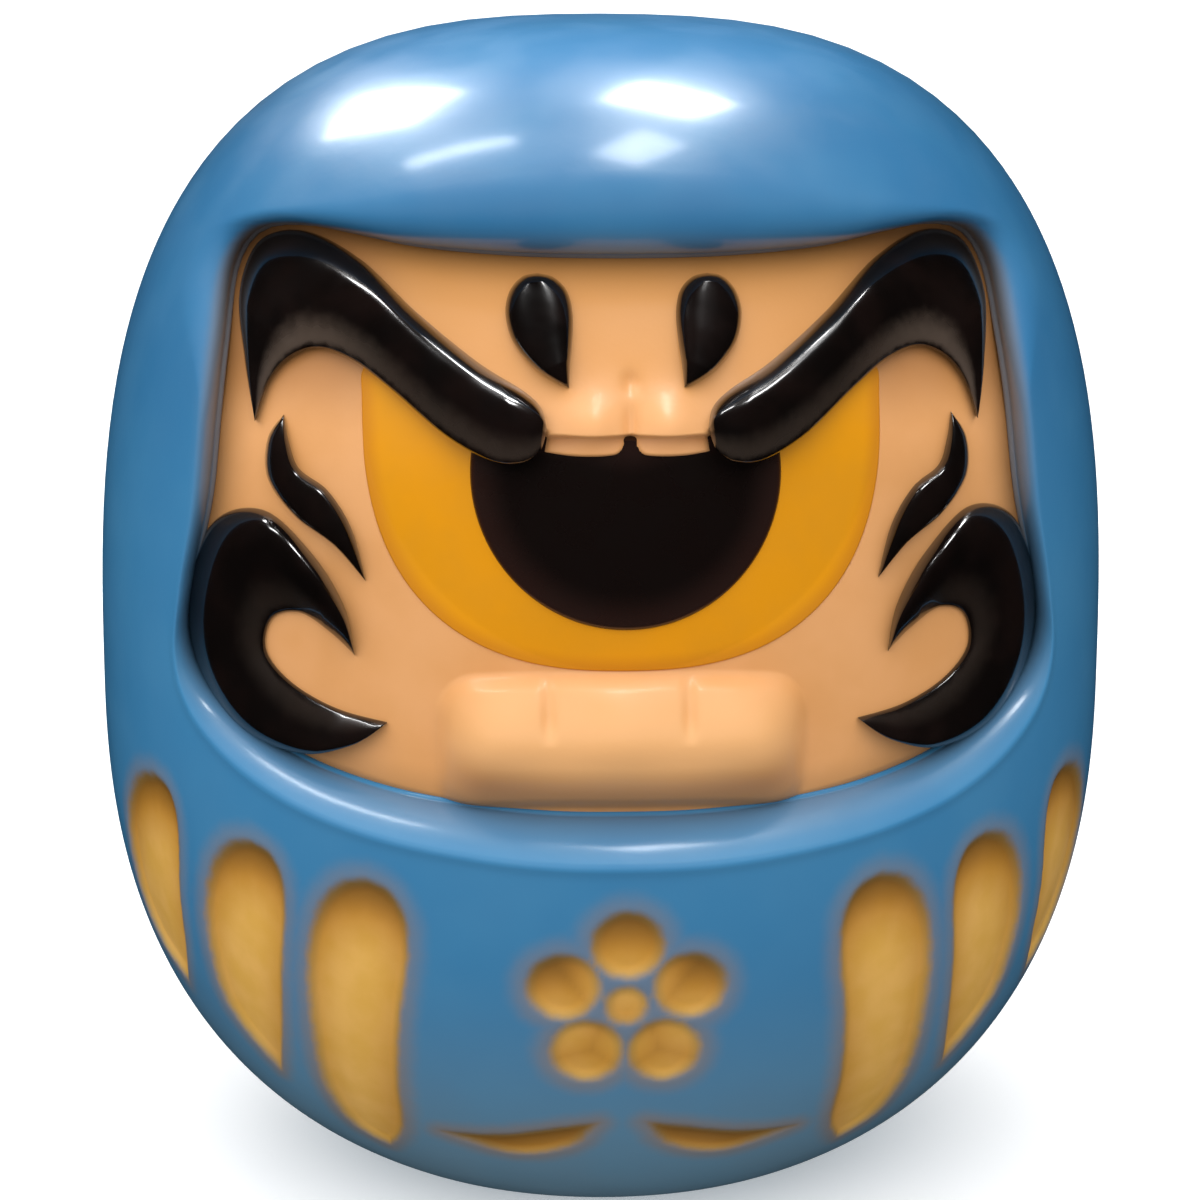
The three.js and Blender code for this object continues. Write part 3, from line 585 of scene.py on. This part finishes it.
def face_paint():
    """Flesh, mottled; paler on the mouth, with a touch of painted light on the nose; browner up the forehead;
    painted shade under the mouth and, with brown spray, below the brows; a soft brown edge along the opening."""
    p = Paint("sprayed_flesh_vinyl", 0.42, coat=0.05)
    flesh = p.mix(p.ramp(p.speckle(11, 3), 0.3, 0.7), flesh_colour, light_flesh)
    flesh = p.mix(p.told("forehead"), flesh, forehead_flesh)
    flesh = p.mix(p.told("pale"), flesh, pale_flesh)
    flesh = p.mix(p.told("shaded"), flesh, shaded_flesh)
    flesh = p.mix(p.ramp(p.told("rim_distance"), 0.0, 5.5, 0.42, 0.0), flesh, sprayed_edge)
    return p.finish(flesh, p.ramp(p.speckle(6), 0.3, 0.7, 0.34, 0.44), grain=0.08, grain_size=0.9)


face_columns, face_rings, face_back_rings = 430, 210, 10
flange, flange_gap, flange_thickness, plate_thickness = 3, 1.5, 3.2, 5.2
eye_recess, recess_side = 1.8, (0.1, 0.7)


def build_face():
    """The plate over rings round the middle of the face, out to a flange behind the opening's edge and
    back over its rear side. A ring is a share of the way from the middle to the flange's edge."""
    outline = spline(opening, face_columns, lambda p: 1 + 1.2 * ease(p[:, 1], 80, 66))[:-1]
    middle = np.array([0, face_middle])
    outward = (outline - middle) / np.linalg.norm(outline - middle, axis=1, keepdims=True)
    edge = outline + outward * flange
    share = np.linspace(0.002, 1, face_rings)[:, None, None] ** 0.8
    place = middle + (edge - middle) * share
    x, z = place[..., 0], place[..., 1]
    level = face_setback(x, z)
    behind_lip = lip(outline[:, 1])[1] + flange_gap
    level += ease(share[..., 0], 0.9, 0.96) * (np.maximum(level, behind_lip) - level)
    eye_depth = inside_distance(np.column_stack([x.ravel(), z.ravel()]), eye_outline(160)).reshape(x.shape)
    level += eye_recess * ease(eye_depth, *recess_side)
    front = np.stack([x, front_depth(x, z) + level, z], -1)

    back_x, back_z = np.moveaxis(
        middle + (edge - middle) * np.linspace(1, 0.01, face_back_rings)[:, None, None], -1, 0)
    back_level = cheek_setback(back_z) + plate_thickness
    back = np.stack([back_x, front_depth(back_x, back_z) + back_level, back_z], -1)
    back[0, :, 1] = front[-1, :, 1] + flange_thickness
    plate = skin("face_plate_flesh", np.vstack([front, back]))

    rim = (1 - share[..., 0]) * np.linalg.norm(edge - middle, axis=1) - flange
    wedge, mouth = forehead_share(x, z), mouth_share(x, z)
    high = wedge * ease(z, 103, 116)
    # The mouth is a paler flesh; the touch of it on the nose is painted light, where the lobes face up.
    pale = np.maximum(mouth, 0.1 * wedge * ease(z, 110, 104))
    # Painted shade under the mouth's bar, reaching higher at its ends, and below the brows at the sides,
    # where it lies together with brown spray.
    under_mouth = 0.85 * mouth * ease(z - 2.4 * (np.abs(x) / 20) ** 2, 66.5, 61)
    under_brow = 0.75 * ease(np.abs(x), 24, 34) * ease(z, 102, 111)
    rear = np.zeros(back.shape[:2])
    for name, values in (("forehead", high), ("pale", pale), ("shaded", np.maximum(under_mouth, under_brow)),
                         ("rim_distance", np.maximum(rim, 0))):
        note(plate, name, np.vstack([values, rear]).ravel())
    return plate


seat(build_face(), "doll", "face_plate", face_paint())


# ---- Yellow eye ----
# The eye is a shallow dome of satin yellow vinyl, let into a recess of the plate. Its upper edge is
# hidden under the nose and the brows.

eye_bulge, eye_seam, eye_sunk = 2.4, 0.2, 1.5
dome_rings, dome_rounding = 70, 0.9


def build_dome(name, outline, middle, thick, sunk):
    """A dome over a closed outline: rings from its middle out, an edge of a thickness rounded as a
    quarter circle, and a flat underside sunk behind the rim. Its front bulges by 1 - (r / radius)^2."""
    share = np.sin(np.linspace(0.01, np.pi / 2, dome_rings))[:, None, None]
    place = middle + (outline - middle) * share
    x, z = place[..., 0], place[..., 1]
    rim = (1 - share[..., 0]) * np.linalg.norm(outline - middle, axis=1)
    edge = np.sqrt(1 - (1 - np.clip(rim / min(thick, dome_rounding), 0, 1)) ** 2)
    bulge = eye_bulge * np.maximum(1 - (x**2 + (z - eye_middle) ** 2) / eye_radius**2, 0)
    front = np.stack([x, front_depth(x, z) + cheek_setback(z) - bulge - thick * edge, z], -1)
    under = front[::-23].copy()
    under[..., 1] = front_depth(under[..., 0], under[..., 2]) + cheek_setback(under[..., 2]) + sunk
    piece = skin(name, np.vstack([front, under]))
    note(piece, "rim_distance", np.vstack([rim, np.zeros(under.shape[:2])]).ravel())
    return piece


def eye_paint():
    """Satin yellow, a little darker and redder towards its rim."""
    p = Paint("sprayed_yellow", 0.42)
    p.surface.inputs["Specular IOR Level"].default_value = 0.3
    yellow = p.mix(p.ramp(p.speckle(12, 3), 0.3, 0.7), linear(234, 154, 2), linear(226, 150, 4))
    yellow = p.mix(p.ramp(p.told("rim_distance"), 0.0, 2.4, 0.6, 0.0), yellow, linear(196, 118, 22))
    return p.finish(yellow, p.ramp(p.speckle(6), 0.3, 0.7, 0.32, 0.42), grain=0.06, grain_size=0.9)


eye = build_dome("yellow_eye", eye_outline(240), np.array([0, 97.0]), eye_seam, eye_sunk)
seat(eye, "doll", "eye_dome", eye_paint())


# ---- Black pupil ----
# The pupil is a thin round disc on the yellow dome, sprayed a satin black that thins out to brown at its
# edge. Its top is cut off level where it meets the nose.

pupil_middle, pupil_radius, pupil_top = 99.5, 18, 104.2
pupil_thickness, pupil_sunk = 0.55, 0.4


def pupil_paint():
    """Black with a warm brown at its edge, where the yellow shows through the thin paint, and a painted
    reflection, a dull brown over its outer 5 mm.
    """
    p = Paint("sprayed_black_satin", 0.28, coat=0.2)
    rim = p.told("rim_distance")
    black = p.mix(p.ramp(rim, 0.0, 0.7, 1.0, 0.0), linear(20, 12, 10), linear(60, 30, 8))
    # Painted reflection: a dull brown over the outer 5 mm of the disc.
    black = p.mix(p.ramp(rim, 0.0, 5.0, 0.45, 0.0), black, linear(58, 34, 28))
    return p.finish(black, p.ramp(p.speckle(5), 0.3, 0.7, 0.24, 0.34), grain=0.05, grain_size=0.9)


around = np.linspace(0, 2 * np.pi, 200, endpoint=False)
pupil_rim = pupil_radius * np.column_stack([np.cos(around), np.sin(around)]) + (0, pupil_middle)
pupil_rim[:, 1] = np.minimum(pupil_rim[:, 1], pupil_top)
pupil = build_dome("black_pupil", pupil_rim, np.array([0, 95.0]), eye_seam + pupil_thickness, pupil_sunk)
seat(pupil, "doll", "pupil_disc", pupil_paint())


# ---- Glossy black brows, drops, flicks and whiskers ----
# Each is a rounded black moulding with a hard gloss, let into the face: two long brows, a drop each side
# of the forehead, a small flick beside the eye, and a large hooked whisker on each cheek.

# Height across a moulding from its outer edge to its inner one: an even dome, or a ridge close behind the
# outer edge with a long fall from it and a rounded inner edge.
dome_profile = [(0, 0.08), (0.04, 0.45), (0.14, 0.78), (0.3, 0.95), (0.5, 1), (0.7, 0.95), (0.86, 0.78),
                (0.96, 0.45), (1, 0.08)]
ridge_profile = [(0, 0.1), (0.03, 0.42), (0.1, 0.76), (0.19, 0.96), (0.28, 1), (0.4, 0.94), (0.55, 0.82),
                 (0.72, 0.64), (0.87, 0.42), (0.97, 0.22), (1, 0.06)]


def on_cheek(x, z):
    """How far a moulding on the cheek begins behind the body: as far as the cheek."""
    return cheek_setback(z)


# Each kind: its outer and inner edges on the right side, how far it stands proud, the level that it
# begins from, how strong the painted reflection low on its inner slope is, and its profile.
inserts = {
    "brow": dict(
        outer=[(9.2, 105), (9.8, 107.2), (12, 109.1), (17, 111.9), (24, 116.9), (30.8, 122.4), (37.6, 125),
               (43.2, 123.4), (45.6, 117.5), (44.8, 110), (43.4, 103.2)],
        inner=[(9.2, 105), (10.1, 102.6), (12.2, 101.3), (15.4, 101.4), (20.8, 103.9), (27, 108.4),
               (31.5, 111.2), (35.6, 112.2), (39, 110.9), (41.6, 108), (43.4, 103.2)],
        proud=4.2, level=forehead_setback, haze=0.6, profile=ridge_profile),
    "forehead_drop": dict(
        outer=[(9.9, 121.5), (11.7, 121.1), (13.2, 119.5), (13.7, 117), (12.8, 114), (10.2, 111.3),
               (6.6, 109.4)],
        inner=[(9.9, 121.5), (8.1, 121.1), (6.6, 119.7), (6, 117.4), (6.1, 114.5), (6.4, 112),
               (6.6, 109.4)],
        proud=2.9, level=forehead_setback, haze=0, profile=dome_profile),
    "cheek_flick": dict(
        outer=[(39.9, 104.2), (41.9, 101.2), (41.9, 96.6), (38.6, 92.6), (34, 89.8), (30.2, 85.9)],
        inner=[(39.9, 104.2), (39.2, 101), (38, 98.2), (34.6, 96), (31.8, 91.8), (30.2, 85.9)],
        proud=2.5, level=on_cheek, haze=0, profile=dome_profile),
    "cheek_swirl": dict(
        outer=[(31.6, 76.9), (32.7, 82.4), (36.4, 88.2), (42.4, 92.8), (48.8, 90.4), (52.4, 81.5),
               (51.6, 73), (46.8, 66.4), (39.2, 64.2), (32.5, 65.9), (27.9, 69.2)],
        inner=[(31.6, 76.9), (34.6, 79.4), (38.2, 81.2), (41.6, 80), (42.4, 76), (39.4, 72.6), (34, 70.2),
               (27.9, 69.2)],
        proud=3.8, level=on_cheek, haze=0.1, profile=ridge_profile),
}


def gloss_paint():
    """Hard black gloss over a slightly rougher black, with a painted reflection: a thin brown-grey haze low
    on the inner slope, rougher there, with a dark line below it."""
    p = Paint("black_gloss_enamel", 0.2, coat=0.8)
    black = p.mix(p.ramp(p.speckle(7, 3), 0.35, 0.7), linear(13, 9, 8), linear(22, 14, 12))
    across = p.combine("ADD", p.told("across"), p.ramp(p.speckle(1.5), 0.2, 0.8, -0.02, 0.02))
    low = p.combine("MULTIPLY", p.ramp(across, 0.55, 0.88), p.ramp(across, 0.88, 0.97, 1, 0))
    haze = p.combine("MULTIPLY", low, p.told("haze"))
    # Painted reflection: the lower inner slope, which faces down, turns brown-grey as if it caught the light
    # face below.
    black = p.mix(haze, black, linear(104, 88, 76))
    rough = p.combine("ADD", p.ramp(p.speckle(4), 0.3, 0.7, 0.16, 0.24), p.combine("MULTIPLY", haze, 0.3))
    return p.finish(black, rough, grain=0.04, grain_size=1.6)


moulding_rows, moulding_columns, moulding_sunk = 170, 30, 1.6


def build_insert(name, side, outer, inner, proud, level, haze, profile):
    """A moulding between two edges, its height across them by the profile, lower where the moulding is
    narrow, proud times (half width / 0.55 of the widest)^0.55, and its underside sunk in the face."""
    a, b = (spline(np.array(edge) * (side, 1), moulding_rows) for edge in (outer, inner))
    half = np.linalg.norm(a - b, axis=1) / 2
    bulk = np.clip(half / (0.55 * half.max()), 0.02, 1)[:, None] ** 0.55
    across, rise = spline(profile, moulding_columns).T
    across = np.concatenate([[0], across, [1, 0.5]])
    rise = np.concatenate([[-1], rise, [-1, -1]])
    place = a[:, None] + (b - a)[:, None] * across[:, None]
    x, z = place[..., 0], place[..., 1]
    up = np.where(rise < 0, -moulding_sunk, proud * bulk * rise)
    piece = skin(name, np.stack([x, front_depth(x, z) + level(x, z) - up, z], -1))
    note(piece, "across", np.broadcast_to(across, x.shape).ravel())
    # The painted reflection is weaker towards the middle of the face.
    note(piece, "haze", (haze * (0.35 + 0.65 * ease(np.abs(x), 24, 38))).ravel())
    return piece


gloss = gloss_paint()
for kind, shape in inserts.items():
    for side, side_name in ((1, "left"), (-1, "right")):
        moulding = build_insert(f"{kind}_gloss_{side_name}", side, **shape)
        seat(moulding, "doll", f"{kind}_{side_name}", gloss)


# ---- Base plug ----
# A shallow cup of bare, unpainted vinyl closes the round hole in the base, flush with it. It is pressed
# in from below, has a recess and a groove for the fingers, and pulls out straight down.

plug_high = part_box("base_plug")[1]
plug_radius, plug_top = 1000 * plug_high.x, 1000 * plug_high.z
plug_bevel, plug_wall, plug_floor = 1.2, 2.4, 3
finger_recess, finger_groove, groove_depth = (6, 0.8), (12, 13.9), 0.5
axis_gap = 0.05


def turned(name, profile, segments=128):
    """A body of revolution about the doll's upright axis from a profile of radius and height, (r cos t,
    r sin t, z), with every corner of the profile rounded by cutting it three times, each time at a
    quarter of its edges or 0.35 mm from the corner, whichever is less."""
    path = np.array(profile, float)
    for _ in range(3):
        before, after = path[:-1], path[1:]
        step = np.linalg.norm(after - before, axis=1, keepdims=True)
        cut = np.minimum(0.25, 0.35 / np.maximum(step, 1e-6))
        ends = np.stack([before + (after - before) * cut, after - (after - before) * cut], 1).reshape(-1, 2)
        path = np.vstack([path[:1], ends[1:-1], path[-1:]])
    turn = np.linspace(0, 2 * np.pi, segments, endpoint=False)
    radius, up = path[:, 0, None], path[:, 1, None]
    return skin(name, np.stack([radius * np.cos(turn), radius * np.sin(turn), up + 0 * turn], -1))


def plug_paint():
    """Bare blue vinyl: flat, scuffed a little paler where it rubs."""
    p = Paint("bare_blue_vinyl", 0.5)
    blue = p.mix(p.ramp(p.speckle(3, 4), 0.45, 0.7, 0, 0.5), linear(40, 92, 128), linear(62, 112, 146))
    return p.finish(blue, p.ramp(p.speckle(2), 0.3, 0.7, 0.42, 0.6), grain=0.15, grain_size=0.7)


recess_radius, recess_depth = finger_recess
groove_low, groove_high = finger_groove
plug = turned("base_plug_vinyl", [
    (axis_gap, recess_depth), (recess_radius, recess_depth), (recess_radius + 0.6, 0), (groove_low, 0),
    (groove_low + 0.5, groove_depth), (groove_high - 0.5, groove_depth), (groove_high, 0),
    (plug_radius - plug_bevel, 0), (plug_radius, plug_bevel), (plug_radius, plug_top),
    (plug_radius - plug_wall, plug_top), (plug_radius - plug_wall, plug_floor), (axis_gap, plug_floor),
])
seat(plug, "base", "base_plug", plug_paint())


# ---- Counterweight ----
# A raw cast disc with a shallow dimple on top stands in the plug's cup and keeps the doll upright. It
# comes down with the plug.

weight_low, weight_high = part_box("counterweight")
weight_radius, weight_foot, weight_top = 1000 * weight_high.x, 1000 * weight_low.z, 1000 * weight_high.z
weight_bevel, dimple_radius = 1, 5


def casting_paint():
    """Raw cast iron: dark grey, grainy, with a trace of rust."""
    p = Paint("raw_casting", 0.6)
    p.surface.inputs["Metallic"].default_value = 0.8
    grey = p.mix(p.ramp(p.speckle(4, 5), 0.5, 0.75), linear(92, 92, 94), linear(104, 76, 58))
    return p.finish(grey, p.ramp(p.speckle(1.5), 0.3, 0.7, 0.5, 0.75), grain=0.5, grain_size=0.5)


weight = turned("cast_counterweight", [
    (axis_gap, weight_foot), (weight_radius - weight_bevel, weight_foot),
    (weight_radius, weight_foot + weight_bevel), (weight_radius, weight_top - weight_bevel),
    (weight_radius - weight_bevel, weight_top), (dimple_radius, weight_top),
    (dimple_radius - 0.6, weight_top - weight_bevel), (axis_gap, weight_top - weight_bevel),
])
seat(weight, "base", "counterweight", casting_paint())


# ---- Studio ----
# A wide pale floor, an even overhead light, and two pairs of small softboxes above the doll that show
# as the bright patches on the hood. The camera looks slightly down at the doll from its front.

aim = Vector((-0.0001, 0, 0.0728))
camera_distance, lens, sensor = 0.42, 94, 36
look_down, look_aside, tilt = np.radians(12), np.radians(-3), 0.003
back = Vector((np.sin(look_aside) * np.cos(look_down), -np.cos(look_aside) * np.cos(look_down),
               np.sin(look_down)))
right = Vector((np.cos(look_aside), np.sin(look_aside), 0))
upward = back.cross(right)
right, upward = (np.cos(tilt) * right + np.sin(tilt) * upward, np.cos(tilt) * upward - np.sin(tilt) * right)
turned_camera = Matrix((right, upward, back)).transposed().to_4x4()
camera = bpy.data.objects.new("camera", bpy.data.cameras.new("camera"))
camera.data.sensor_width, camera.data.lens = sensor, lens
camera.matrix_world = Matrix.Translation(aim + back * camera_distance) @ turned_camera
bpy.context.scene.collection.objects.link(camera)
bpy.context.scene.camera = camera

# The floor lies just below the base and glows a little, which keeps the doll's shadow on it pale. It
# neither shows in the gloss nor lights the doll from below.
floor_half, floor_drop, floor_grey, floor_glow = 12.0, 0.00012, 0.86, 0.3
floor_corners = [(x * floor_half, y * floor_half, -floor_drop)
                 for x, y in ((-1, -1), (1, -1), (1, 1), (-1, 1))]
floor_mesh = bpy.data.meshes.new("floor")
floor_mesh.from_pydata(floor_corners, [], [(0, 1, 2, 3)])
floor = bpy.data.objects.new("floor", floor_mesh)
bpy.context.scene.collection.objects.link(floor)
floor_paint = Paint("pale_floor", 0.8)
floor_paint.surface.inputs["Base Color"].default_value = (floor_grey, floor_grey, floor_grey, 1)
floor_paint.surface.inputs["Emission Color"].default_value = (1, 1, 1, 1)
floor_paint.surface.inputs["Emission Strength"].default_value = floor_glow
floor_mesh.materials.append(floor_paint.material)
floor.visible_glossy = False
floor.visible_diffuse = False


hood = Vector((0, -0.04, 0.138))
box_distance = 1.0


def softbox(name, direction, width, length, power):
    """A rectangular light in a direction from the hood, facing it, that shows only in the gloss."""
    light = bpy.data.lights.new(name, "AREA")
    light.shape = "RECTANGLE"
    light.size, light.size_y = width, length
    light.energy = power
    lamp = bpy.data.objects.new(name, light)
    lamp.location = hood + Vector(direction).normalized() * box_distance
    lamp.rotation_euler = Vector(direction).to_track_quat("Z", "Y").to_euler()
    lamp.visible_diffuse = False
    bpy.context.scene.collection.objects.link(lamp)


softbox("left_box_back", (-0.427, 0.504, 0.75), 0.26, 0.3, 8.0)
softbox("left_box_front", (-0.40, 0.05, 0.905), 0.07, 0.34, 2.4)
softbox("right_box_back", (0.171, 0.324, 0.93), 0.26, 0.22, 7.0)
softbox("right_box_front", (0.109, -0.082, 0.991), 0.24, 0.17, 3.2)

# The wide overhead light and the white room light the doll's colours, and don't show in the gloss.
sun = bpy.data.lights.new("overhead", "SUN")
sun.energy, sun.angle = 3.5, np.radians(120)
overhead = bpy.data.objects.new("overhead", sun)
overhead.rotation_euler = Vector((-0.15, -0.3, 0.94)).to_track_quat("Z", "Y").to_euler()
overhead.visible_glossy = False
bpy.context.scene.collection.objects.link(overhead)
world = bpy.data.worlds.new("room")
world.use_nodes = True
world.node_tree.nodes["Background"].inputs["Color"].default_value = (1, 1, 1, 1)
world.node_tree.nodes["Background"].inputs["Strength"].default_value = 0.5
world.cycles_visibility.glossy = False
bpy.context.scene.world = world
bpy.context.scene.view_settings.view_transform = "Standard"
